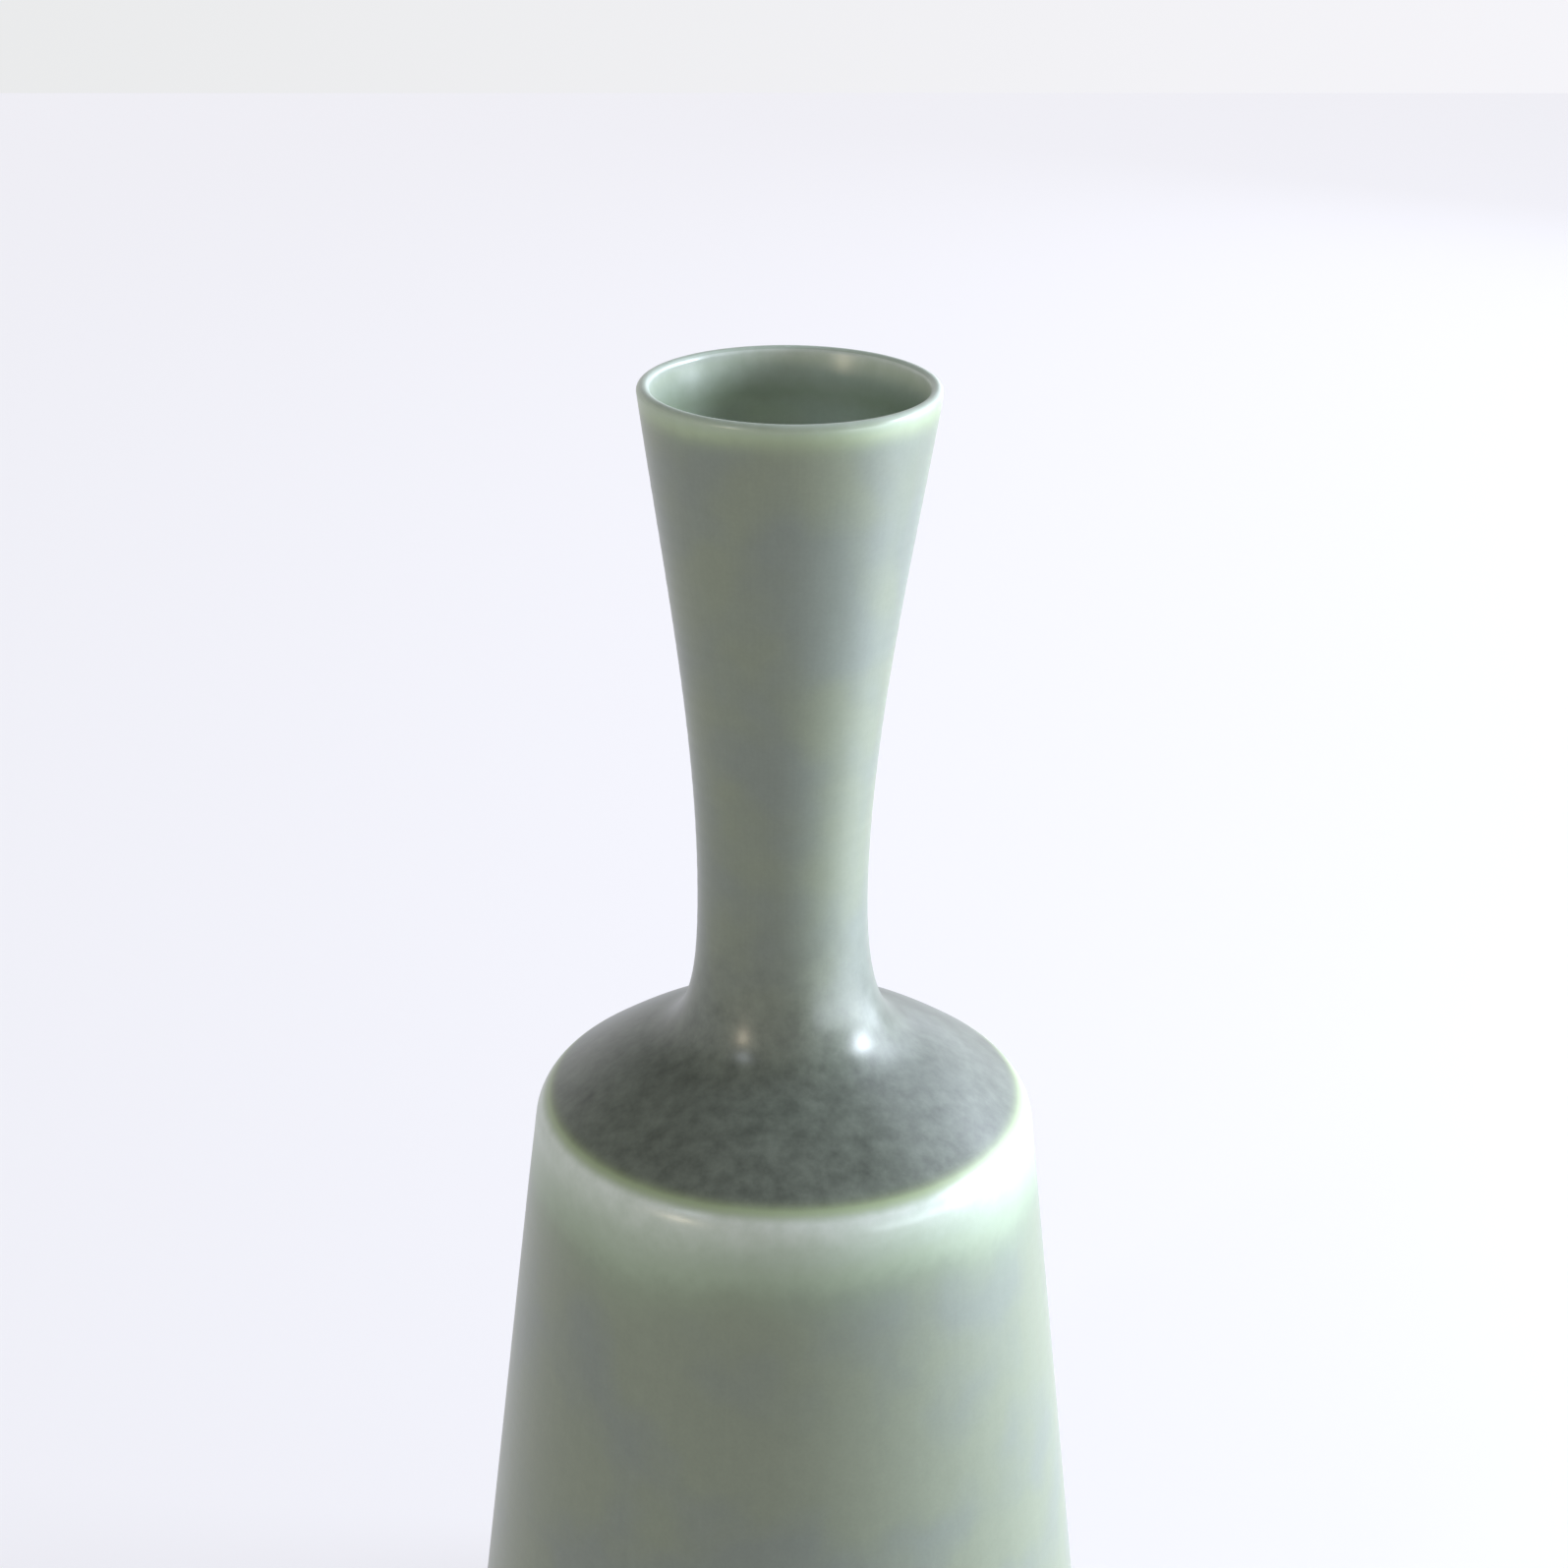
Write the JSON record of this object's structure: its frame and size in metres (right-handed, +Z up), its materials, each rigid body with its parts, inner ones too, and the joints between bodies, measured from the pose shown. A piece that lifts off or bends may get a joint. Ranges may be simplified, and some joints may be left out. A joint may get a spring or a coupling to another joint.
{
  "type": "sake bottle",
  "caption": "Stoneware pouring bottle with a flared neck, a rounded shoulder edge and a tapered body that widens to its foot, glazed inside and out.",
  "frame": {"origin": "centre of the foot's resting plane", "axes": "+Z up along the bottle's axis, towards the mouth; the bottle is turned, so X and Y are alike"},
  "size_m": [0.0852, 0.0852, 0.195],
  "materials": {
    "stoneware": "unglazed fired clay, matt",
    "celadon_glaze": "satin grey-green celadon, thin and pale at the lip and the shoulder's edge",
    "liner_glaze": "satin grey-green celadon"
  },
  "bodies": {
    "root": {"base": "stoneware", "body_wall": "stoneware", "shoulder": "stoneware", "neck": "stoneware", "outer_glaze": "celadon_glaze", "liner_glaze": "liner_glaze"}
  },
  "joints": []
}
